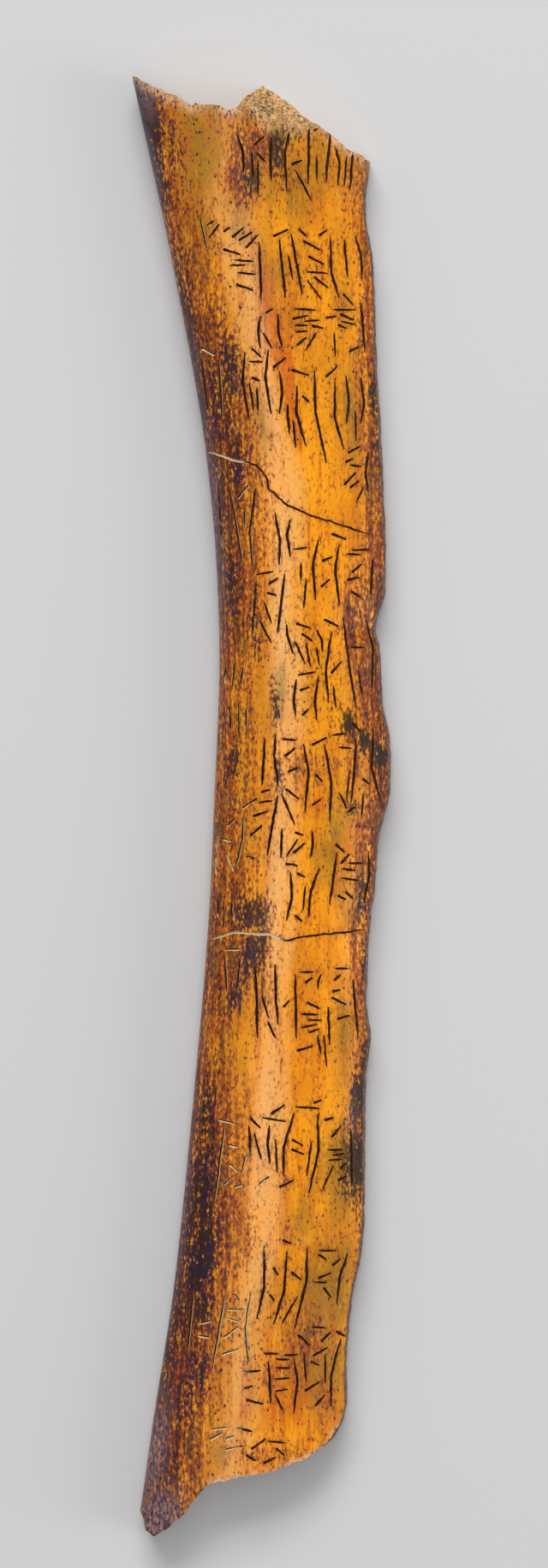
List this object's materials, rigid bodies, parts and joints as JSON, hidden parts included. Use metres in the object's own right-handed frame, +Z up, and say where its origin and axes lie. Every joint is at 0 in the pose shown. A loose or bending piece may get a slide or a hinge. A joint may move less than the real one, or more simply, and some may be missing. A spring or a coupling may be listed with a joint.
{
  "type": "oracle bone",
  "caption": "Long split strip of ox shoulder-blade bone, with rows of knife-cut strokes on its rounded face and a row of hollows in its ground back.",
  "frame": {"origin": "under the middle of the strip, on the surface that it lies on", "axes": "+Y along the strip towards its upper break, +Z up out of the inscribed face, +X towards the thin broken side"},
  "size_m": [0.0424, 0.24, 0.0124],
  "materials": {
    "bone": "polished, stained bone"
  },
  "bodies": {
    "root": {"bone": "bone"}
  },
  "joints": []
}
